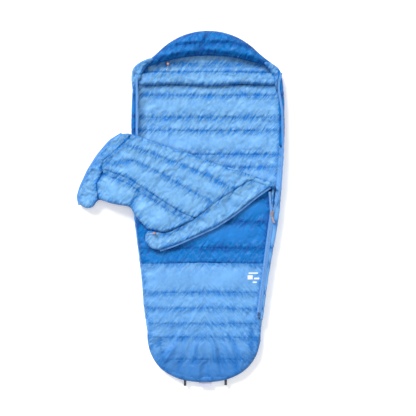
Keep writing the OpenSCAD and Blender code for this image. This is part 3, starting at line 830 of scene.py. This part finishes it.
# %% Hood plan
SHOULDER = mm([(417, 815), (369, 848), (322, 883)])
CROWN = np.vstack([SHOULDER, dome_line(0), mirrored(SHOULDER)])
BRIM_X = np.linspace(-385, 385, 40) * MM
BRIM_Y = -56 * MM + np.sqrt((945 * MM) ** 2 - BRIM_X**2)
BRIM_LINE = np.stack([BRIM_X, BRIM_Y], axis=1)
BRIM = np.vstack([CROWN, BRIM_LINE])
BRIM_SEAMS = [[(x, y + 17) for x, y in BRIM_LINE / MM], [(-8, 1040), (-22, 960), (-48, 925)],
              [(-330, 905), (-200, 948), (-48, 960), (150, 962), (310, 915)]]
cut("brim", BRIM, BRIM_SEAMS, step=8 * MM, loft=17, spare=0.02, full=0.045)
HOOD_CORNER = mm([(384, 792), (378, 815), (340, 845), (300, 870)])
HOOD_FLOOR = np.vstack([HOOD_CORNER, dome_line(36 * MM), mirrored(HOOD_CORNER)])
cut("hood_floor", HOOD_FLOOR, [[(-400, 838), (0, 846), (400, 838)]], loft=10, spare=0.1, full=0.05)
NECK = mm([(-414, 786), (-420, 742), (-408, 712), (-200, 722), (0, 710), (200, 724), (402, 714),
           (408, 752), (398, 792), (0, 798), (-408, 794)])
cut("neck", NECK, loft=20, spare=0.05, full=0.08)
UNDER_SEAMS = [[(-460, y), (460, y)] for y in
               (656, 500, 351, 200, 50, -100, -250, -400, -550, -700, -850)]
cut("back_under", around(5 * MM), UNDER_SEAMS, step=13 * MM, loft=5)
HOOD_UNDER = np.vstack([mm([(421, 803)]), CROWN, mm([(-421, 803)])])
cut("hood_under", HOOD_UNDER, [[(-350, 880), (0, 900), (350, 880)]], step=11 * MM, loft=5)
WING_LEFT = mm([(-441, 672), (-450, 730), (-451, 772), (-444, 812), (-414, 842), (-376, 862),
                (-338, 876), (-306, 868), (-340, 842), (-366, 820), (-380, 794), (-390, 756),
                (-414, 712), (-430, 672)])
cut("wing_left", WING_LEFT, loft=15, spare=0.14, full=0.08, grain=(0.6, 0.8))
WING_RIGHT = mm([(400, 676), (390, 730), (378, 774), (362, 804), (336, 832), (316, 852),
                 (345, 856), (392, 836), (414, 812), (422, 776), (414, 730), (410, 676)])
cut("wing_right", WING_RIGHT, loft=13, spare=0.14, full=0.08, grain=(0.3, 0.9))
puff_all()

# %% [markdown]
# ## Panels of the body
# The top panel comes in two colours, navy over the chest and sky over the legs, cut from
# one puffed sheet so that the folds run on across the join. Under it is its own lining.
# The back lies on the floor: its lining is what shows in the opening.
# %% Body panels
def chest_part(centres):
    return centres[:, 1] > -0.336 + 0.018 * np.cos(centres[:, 0] / 0.45) - 0.009


FREE_EDGE = np.vstack([edge(1, -0.64, FOOT_JOIN, 5 * MM), foot_line(4 * MM),
                       edge(-1, FOOT_JOIN, 0.2, 9 * MM)])


def top_bow(flat):
    """Highest along the middle of the panel, falling away at the toe, with folds in a fan."""
    side = np.abs(flat[:, 0] - middle(flat[:, 1])) / half_width(flat[:, 1])
    toe = np.clip((-0.78 - flat[:, 1]) / 0.25, 0, 1)
    turn = np.arctan2(flat[:, 0] + 0.02, -0.52 - flat[:, 1])
    fans = bump_noise(turn * 11, np.hypot(flat[:, 0] + 0.02, flat[:, 1] + 0.52) / 0.16, 47)
    strong = (np.clip((-0.70 - flat[:, 1]) / 0.16, 0, 1)
              * np.clip((1.035 + flat[:, 1]) / 0.05, 0, 1))
    return 3 * (1 - side**2) - 1.5 - 14 * toe**2 + 13 * fans * strong


for name, kind, nodes, part in (
        ("chest_panel", NAVY_SHELL, ["front_shell_chest"], chest_part),
        ("legs_panel", LEGS_SHELL, ["front_shell_legs", "front_fill"], lambda c: ~chest_part(c))):
    stuffed(name, "front", 50, 66, 49, 34, kind, "bag", nodes, only=part, free=FREE_EDGE,
            bow=top_bow)
stuffed("front_lining_quilt", "front", 49, 48, 49.4, 20, SKY_LINING, "bag", ["front_lining"],
        gain=0.1)


# %% Back panels
def rim_bow(flat):
    """The lining climbs the side baffles to the zips."""
    to_edge = half_width(flat[:, 1]) - np.abs(flat[:, 0] - middle(flat[:, 1])) - 22 * MM
    return 44 * np.clip(1 - to_edge / 0.075, 0, 1) ** 2


def upper_back(centres):
    return centres[:, 1] > BREAK_Y


stuffed("back_lining_quilt", "floor", 14, 17, 12.5, 10, SKY_LINING, "bag",
        ["back_lining", "back_fill"], bow=rim_bow)
for name, kind, node, part in (
        ("back_shell_navy", NAVY_SHELL, "back_shell_upper", upper_back),
        ("back_shell_sky", SKY_SHELL, "back_shell_lower", lambda c: ~upper_back(c))):
    stuffed(name, "back_under", 11.5, 6.5, 11.9, 40, kind, "bag", [node], only=part)

# %% [markdown]
# ## Side baffles
# The sides are tubes of down standing on the edge of the back panel. A tube is a section
# drawn round a path. It is pinched where a cross seam reaches it and crinkled between, so
# it is made as a grid of rings, each pushed in or out by a rule.
# %% Tubes
def tube(name, outer, wide, low, high, seams, kind, body, nodes, seed,
         power=2.5, crinkle=2.2, rings=36, inward=1.0, taper=18):
    """A stuffed tube inside a path. wide, low and high in mm, numbers or one for each point."""
    line = evenly(rounded_line(outer, 30 * MM), 5.5 * MM)
    count = len(line)
    heading = np.gradient(line, axis=0)
    heading /= np.linalg.norm(heading, axis=1, keepdims=True)
    across = np.stack([-heading[:, 1], heading[:, 0]], axis=1) * inward
    run = np.concatenate([[0], np.cumsum(np.linalg.norm(np.diff(line, axis=0), axis=1))])
    share = run / run[-1]
    wide, low, high = (np.interp(share, np.linspace(0, 1, np.size(v)), np.atleast_1d(v)) * MM
                       for v in (wide, low, high))
    ends = np.minimum(run, run[-1] - run)
    closing = np.maximum(round_over(ends + 0.0004, taper * MM), 0.03)
    to_seam = np.full(count, 9.0)
    for y in seams:
        at = run[np.argmin(np.abs(line[:, 1] - y * MM))] if np.isscalar(y) else y[0] * MM
        to_seam = np.minimum(to_seam, np.abs(run - at))
    angle = np.linspace(0, 2 * np.pi, rings, endpoint=False)
    c, s = np.cos(angle), np.sin(angle)
    section_x = np.sign(c) * np.abs(c) ** (2 / power)
    section_z = np.sign(s) * np.abs(s) ** (2 / power)
    size = (1 - 0.1 * np.exp(-((to_seam / 0.008) ** 2))) * closing
    u, v = np.meshgrid(run, angle * 0.02, indexing="ij")
    ridge = bump_noise(u / 0.013 + seed, v / 0.02, seed) * np.exp(-to_seam / 0.05)[:, None]
    lump = bump_noise(u / 0.045, v / 0.03, seed + 1)
    push = (crinkle * MM) * (0.8 * ridge + 0.5 * lump) * closing[:, None]
    half, tall = wide / 2 * size, (high - low) / 2 * size
    x = (half[:, None] + push) * section_x
    z = (tall[:, None] + push) * section_z
    centre = line + across * (wide / 2)[:, None]
    level = np.maximum(((low + high) / 2)[:, None] + z, 0.8 * MM)
    points = np.concatenate([centre[:, None, :] - across[:, None, :] * x[..., None],
                             level[..., None]], axis=2)
    faces = []
    for i in range(count - 1):
        for j in range(rings):
            k = (j + 1) % rings
            faces.append((i * rings + j, i * rings + k, (i + 1) * rings + k, (i + 1) * rings + j))
    faces += [tuple(range(rings))[::-1], tuple((count - 1) * rings + j for j in range(rings))]
    if inward > 0:
        faces = [f[::-1] for f in faces]
    seam_map = np.stack([v, np.repeat(to_seam[:, None], rings, axis=1)], axis=2).reshape(-1, 2)
    made = new_mesh(name, points.reshape(-1, 3), faces, seam_map)
    recalc(made)
    print(name, len(made.data.polygons), "faces")
    return finish_piece(made, kind[0], body, nodes)


def recalc(piece):
    work = bmesh.new()
    work.from_mesh(piece.data)
    bmesh.ops.recalc_face_normals(work, faces=work.faces)
    work.to_mesh(piece.data)
    work.free()


# %% Sides of the bag
SIDE_SEAMS = (656, 525, 448, 308, 230, 94, 18, -92, -242, -336, -503, -596, -684)
SIDE_END = -668 * MM
right_low = edge(1, BREAK_Y, SIDE_END, 1 * MM)
inner_x = np.interp(right_low[::6, 1], mm([-618, -23, 136, 351]), mm([304, 383, 396, 416]))
inner_width = (right_low[::6, 0] - inner_x) / MM
RIGHT_TOP = np.vstack([mm([(330, 872), (372, 846), (412, 822), (432, 792)]),
                       edge(1, 0.76, BREAK_Y, 1 * MM)])
LEFT_TOP = np.vstack([mm([(-432, 780), (-440, 762)]), edge(-1, 0.74, BREAK_Y, 1 * MM)])
right_top = tube("side_right_navy", RIGHT_TOP, [26, 32, 34, 34, 34, 34], 2, [56, 70, 80, 81, 81],
                 SIDE_SEAMS, NAVY_SHELL, None, ["side_baffle_right_upper"], 11, inward=-1,
                 taper=14)
left_top = tube("side_left_navy", LEFT_TOP, [22, 28, 30, 30], 2, [60, 70, 72, 72], SIDE_SEAMS,
                NAVY_SHELL, None, ["side_baffle_left_upper"], 13, inward=1, taper=12)
for shoulder in (right_top, left_top):
    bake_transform(shoulder)
tube("side_right_sky", right_low, inner_width, 2, 80, SIDE_SEAMS, SKY_SHELL, "bag",
     ["side_baffle_right_lower"], 12, inward=-1, taper=8, power=4.0)
tube("side_left_sky", edge(-1, BREAK_Y, SIDE_END, 1 * MM), [30, 30, 32, 34], 2,
     [70, 62, 52, 50, 50, 50], SIDE_SEAMS, SKY_SHELL, "bag", ["side_baffle_left_lower"], 14,
     inward=1, taper=8)

# %% Foot wall and draft tubes
foot_path = np.vstack([edge(1, -0.655, FOOT_JOIN, 2 * MM), foot_line(2 * MM),
                       edge(-1, FOOT_JOIN, -0.655, 2 * MM)])
foot_length = np.linalg.norm(np.diff(foot_path, axis=0), axis=1).sum() / MM
tube("foot_wall", foot_path, 40, 2, 62, [(s,) for s in np.arange(60, foot_length, 95)], SKY_SHELL,
     "bag", ["foot_baffle"], 15, inward=-1, taper=8)
ZIP_TUBE = np.vstack([mm([(392, 128), (386, 60)]), [zip_at(0, 8), zip_at(615, 8)]])
tube("draft_tube_zip", ZIP_TUBE, 17, 48, 78, (100, 60, 20, -30), SKY_LINING, "bag",
     ["draft_tube_right"], 16, inward=-1, crinkle=3)
tube("draft_tube_side", mm([(-424, 700), (-424, 200)]), 20, 20, 50, (600, 450, 300), SKY_LINING,
     "bag", ["draft_tube_left"], 17, inward=1, crinkle=3)

# %% [markdown]
# ## The roll of the fold
# Where the top panel turns back over itself, its lining makes a soft roll from the lower
# layer to the upper one. Its hidden side is navy, because that is what comes to the top
# when the bag is closed.
# %% Fold roll
fold_path = np.array([on_fold(-450, 3), on_fold(399, 3)])
roll = tube("fold_roll", fold_path, 32, 55, 108, [(s,) for s in (5, 150, 320, 500, 690, 880)],
            FOLD_LINING, None, [], 21, inward=-1, crinkle=3.5, taper=26)
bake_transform(roll)

# %% [markdown]
# ## The flap
# The turned-back flap shows its lining, with a facing of slightly deeper cloth along the
# zip and the side, and the draft collar, a fat double tube that closes round the neck. Its
# navy shell is underneath.
# %% Flap pieces
FOLD_EDGE = np.array([on_fold(-450, 2), on_fold(400, 2)])
OPEN_EDGES = np.vstack([FOLD_EDGE[:1] - FOLD_D * 0.05, FOLD_EDGE, ZIP_EDGE, NECK_EDGE, SIDE_EDGE,
                        FOLD_EDGE[:1]])
for name, plan, edge_z, face_z, inner_z, reach, nodes, fill in (
        ("flap_lining_quilt", "flap_lining", 93, 107, 92, 26, ["flap_lining", "flap_fill"], 0.6),
        ("flap_zip_facing_quilt", "zip_facing", 95, 105, 94.6, 16, ["flap_zip_facing"], 0.5),
        ("flap_collar_roll", "collar", 100, 113, 97, 16, ["flap_collar"], 0.9),
        ("flap_collar_edging", "collar_border", 101, 108, 98, 8, [], 0.5),
        ("flap_side_facing_quilt", "side_facing", 95, 105, 94.6, 18, ["flap_side_facing"], 0.5)):
    stuffed(name, plan, edge_z, face_z, inner_z, reach, SKY_LINING, "flap", nodes, droop=droop,
            free=None if plan == "collar" else OPEN_EDGES)
stuffed("flap_shell_quilt", "flap_under", 93.6, 91, 94.2, 20, NAVY_SHELL, "flap", ["flap_shell"],
        droop=droop, gain=0.55)

# %% [markdown]
# ## The hood
# The hood is a flat back and a brim folded over it, joined round the crown. The brim's
# edge is a narrow casing for the drawcord. Between brim and back shows the hood's lining,
# and below it the neck collar, a roll across the bag.
# %% Hood pieces
def brim_bow(flat):
    return 5 * np.exp(-((flat[:, 0] / 0.25) ** 2)) - 3


def neck_bow(flat):
    """The roll climbs the sides of the bag at its ends."""
    return 14 * np.clip((np.abs(flat[:, 0]) - 0.33) / 0.09, 0, 1) ** 2


stuffed("hood_brim", "brim", 44, 70, 52, 40, NAVY_SHELL, "hood", ["brim_shell", "brim_fill"],
        bow=brim_bow)
stuffed("hood_brim_lining", "brim", 52, 51, 52.4, 20, SKY_SHELL, "hood", ["brim_lining"], gain=0.0)
stuffed("hood_back", "hood_under", 11.5, 6, 12, 40, NAVY_SHELL, "hood", ["hood_shell", "hood_fill"])
stuffed("hood_lining_quilt", "hood_floor", 20, 24, 14, 14, SKY_LINING, "hood", ["hood_lining"],
        gain=0.7)
tube("hood_side_wall", CROWN, 34, 4, 60, [(s,) for s in range(40, 1200, 110)], NAVY_SHELL, "hood",
     ["hood_side_baffle"], 31, inward=1, taper=14)
stuffed("neck_roll", "neck", 30, 44, 28, 22, SKY_LINING, "bag", ["neck_collar"],
        bow=neck_bow)

# %% Shoulders, where hood and body run together
def shoulder_droop(x):
    """The wing falls away to the edge of the bag."""
    return -16 * MM * np.clip((np.abs(x) - 0.41) / 0.045, 0, 1) ** 2


for name, plan, low_z, slope in (("shoulder_left", "wing_left", 56, shoulder_droop),
                                 ("shoulder_right", "wing_right", 54, None)):
    wing = stuffed(name, plan, low_z, low_z + 14, low_z - 3, 16, SKY_LINING, None, droop=slope)
    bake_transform(wing)

# %% [markdown]
# ## Zips
# A coil zip is a woven tape with a row of plastic coil along its edge. The coil is the
# same small link hundreds of times, so Geometry Nodes sets one link at each even step of a
# line, turned to lie across it. The tapes are thin strips beside the same lines.
# %% Zip lines and tapes
def beside(line, offset):
    p = np.array(line, float)
    d = np.gradient(p[:, :2], axis=0)
    d /= np.linalg.norm(d, axis=1, keepdims=True)
    out = p.copy()
    out[:, :2] += np.stack([-d[:, 1], d[:, 0]], axis=1) * offset * MM
    return out


def tape(name, line, a, b, thick, body, nodes, material=None):
    """A strip beside a line of 3-D points, from offset a to b in mm."""
    p = evenly(line, 5 * MM)
    low, high = beside(p, a), beside(p, b)
    lift = np.array([0, 0, thick * MM])
    rows = np.stack([low, high, high + lift, low + lift], axis=1)
    faces = [(4 * i + j, 4 * i + (j + 1) % 4, 4 * i + 4 + (j + 1) % 4, 4 * i + 4 + j)
             for i in range(len(p) - 1) for j in range(4)]
    faces += [(3, 2, 1, 0), tuple(4 * (len(p) - 1) + j for j in range(4))]
    made = new_mesh(name, rows.reshape(-1, 3), faces)
    recalc(made)
    return finish_piece(made, material or tape_cloth, body, nodes, smooth=False)


def raised_line(points, height):
    flat = rounded_line(points, 25 * MM)
    return np.column_stack([flat, np.full(len(flat), height * MM)])


Z_ZIP = 82.0
closed_zip = [zip_at(0, 0), zip_at(628, 0)]
base_zip = raised_line(np.vstack([mm([(424, 786), (410, 740), (406, 690), (416, 630), (428, 560),
                       (431, 351), (421, 150), (404, 58)]), closed_zip]), Z_ZIP)
front_zip = raised_line(np.vstack([mm([(366, 90)]), closed_zip]), Z_ZIP)
left_zip = raised_line(mm([(-411, 765), (-411, 190)]), 74)
flap_zip = raised_line(ZIP_EDGE, 93)
flap_left_zip = raised_line(SIDE_EDGE[2:][::-1], 93)
flap_left_zip[:, 2] += droop(flap_left_zip[:, 0])
tape("zip_tape_base", base_zip, 1, 13, 1.2, "bag", ["zip_tape_base_right"])
tape("zip_tape_front", front_zip, -1, -13, 1.2, "bag", ["zip_tape_front_right"])
tape("zip_tape_left", left_zip, -1, -13, 1.2, "bag", ["zip_tape_base_left"])
tape("flap_zip_tape", flap_zip, -3, 9, 1.2, "flap", ["flap_zip_tape_right"])
tape("flap_side_zip_tape", flap_left_zip, 3, -9, 1.2, "flap", ["flap_zip_tape_left"])

# %% Coil by Geometry Nodes
def coil_tree():
    """Sets a link at each pitch of the line, across it."""
    tree = bpy.data.node_groups.new("zip_coil_rows", "GeometryNodeTree")
    face = tree.interface
    face.new_socket("Line", in_out="INPUT", socket_type="NodeSocketGeometry")
    for label, value in (("Pitch", 0.0022), ("Link length", 0.004), ("Link radius", 0.0009)):
        face.new_socket(label, in_out="INPUT", socket_type="NodeSocketFloat").default_value = value
    face.new_socket("Material", in_out="INPUT", socket_type="NodeSocketMaterial")
    face.new_socket("Coil", in_out="OUTPUT", socket_type="NodeSocketGeometry")

    def add(kind, settings=None, **links):
        made = tree.nodes.new(kind)
        for key, value in (settings or {}).items():
            setattr(made, key, value)
        for key, value in links.items():
            socket = made.inputs[key.replace("_", " ")]
            if isinstance(value, bpy.types.NodeSocket):
                tree.links.new(value, socket)
            else:
                socket.default_value = value
        return made

    given = add("NodeGroupInput").outputs
    curve = add("GeometryNodeMeshToCurve", Mesh=given["Line"])
    spots = add("GeometryNodeCurveToPoints", {"mode": "LENGTH"}, Curve=curve.outputs[0],
                Length=given["Pitch"])
    cross = add("ShaderNodeVectorMath", {"operation": "CROSS_PRODUCT"})
    tree.links.new(spots.outputs["Tangent"], cross.inputs[0])
    cross.inputs[1].default_value = (0, 0, 1)
    turn = add("FunctionNodeAlignRotationToVector", {"axis": "Z"}, Vector=cross.outputs[0])
    link = add("GeometryNodeMeshCylinder", Vertices=6, Radius=given["Link radius"],
               Depth=given["Link length"])
    rows = add("GeometryNodeInstanceOnPoints", Points=spots.outputs["Points"],
               Instance=link.outputs["Mesh"], Rotation=turn.outputs[0])
    real = add("GeometryNodeRealizeInstances", Geometry=rows.outputs[0])
    painted = add("GeometryNodeSetMaterial", Geometry=real.outputs[0], Material=given["Material"])
    done = add("NodeGroupOutput")
    tree.links.new(painted.outputs[0], done.inputs[0])
    return tree


COILS = coil_tree()


def coil(name, line, offset, lift, body, node):
    p = beside(evenly(line, 3 * MM), offset)
    p[:, 2] += lift * MM
    mesh = bpy.data.meshes.new(name + "_line")
    mesh.from_pydata([tuple(q) for q in p], [(i, i + 1) for i in range(len(p) - 1)], [])
    guide = bpy.data.objects.new(name + "_line", mesh)
    scene.collection.objects.link(guide)
    rows = guide.modifiers.new("coil", "NODES")
    rows.node_group = COILS
    names = {s.name: s.identifier for s in COILS.interface.items_tree if s.in_out == "INPUT"}
    rows[names["Material"]] = coil_plastic
    ready = bpy.context.evaluated_depsgraph_get()
    plain = bpy.data.meshes.new_from_object(guide.evaluated_get(ready))
    bpy.data.objects.remove(guide)
    plain.name = name
    piece = bpy.data.objects.new(name, plain)
    scene.collection.objects.link(piece)
    print(name, len(plain.polygons), "faces")
    return finish_piece(piece, coil_plastic, body, [node])


coil("zip_coil_base", base_zip, 3, 2.2, "bag", "zip_coil_base_right")
coil("zip_coil_front", front_zip, -3, 2.2, "bag", "zip_coil_front_right")
coil("zip_coil_left", left_zip, -3, 2.2, "bag", "zip_coil_base_left")
coil("flap_zip_coil", flap_zip, -1, 2.0, "flap", "flap_zip_coil_right")
coil("flap_side_zip_coil", flap_left_zip, 1, 2.0, "flap", "flap_zip_coil_left")

# %% [markdown]
# ## Small parts kept from the frame
# The sliders, pulls, cord locks, end fittings and stops are hard parts whose solids are
# already right, so they stay and only get their finishes.
# %% Small parts
SMALL_PARTS = (
    (metal, "slider_main", "slider_main_pull", "zip_stops"),
    (dark_metal, "slider_foot", "slider_foot_pull", "slider_left", "slider_left_pull"),
    (grey, "collar_lock_barrel", "hood_lock_barrel", "collar_cord_end"),
    (orange, "collar_lock_button", "hood_lock_button", "hood_cord_short_end"),
    (white, "hood_cord_end"),
    (pull_web, "slider_main_strip"),
    (webbing, "hang_loop_left", "hang_loop_right"),
    (label_web, "care_label"))
for material, *nodes in SMALL_PARTS:
    for node in nodes:
        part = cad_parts[node]
        part.data.materials.clear()
        part.data.materials.append(material)
print("small parts finished")

# %% [markdown]
# ## Floor and light
# A white floor under an even white sky gives a bright picture. One far lamp from the upper
# left, soft at its edges, shapes the folds and throws a short shadow, and a weak wide one
# from above opens the shadows.
# %% Floor and light
floor_finish = Finish("studio_floor", Roughness=0.9, Emission_Color=(1, 1, 1),
                      Emission_Strength=0.24)
grain = floor_finish.noise(floor_finish.place(), 3, 2, 0.5)
floor_finish.set(Base_Color=floor_finish.mixed(grain, (0.97, 0.97, 0.97), (0.98, 0.98, 0.98)))
FLOOR_REACH, FLOOR_Z = 8, -0.6 * MM
corners = [(x * FLOOR_REACH, y * FLOOR_REACH, FLOOR_Z) for x, y in
           ((-1, -1), (1, -1), (1, 1), (-1, 1))]
floor = new_mesh("studio_floor", corners, [(0, 1, 2, 3)])
floor.data.materials.append(floor_finish.material)
world = bpy.data.worlds.new("studio")
world.use_nodes = True
sky_light = world.node_tree.nodes["Background"]
sky_light.inputs["Color"].default_value = (1, 1, 1, 1)
sky_light.inputs["Strength"].default_value = 0.33
scene.world = world


def lamp(name, toward, strength, softness):
    """Light from far away, so it is as bright at the foot as at the hood."""
    data = bpy.data.lights.new(name, "SUN")
    data.energy, data.angle = strength, math.radians(softness)
    made = bpy.data.objects.new(name, data)
    made.rotation_euler = (-Vector(toward)).to_track_quat("-Z", "Y").to_euler()
    scene.collection.objects.link(made)


lamp("key", (-1.2, 1.9, 2.0), 3.1, 24)
lamp("top", (0.4, -0.2, 3.0), 0.9, 60)
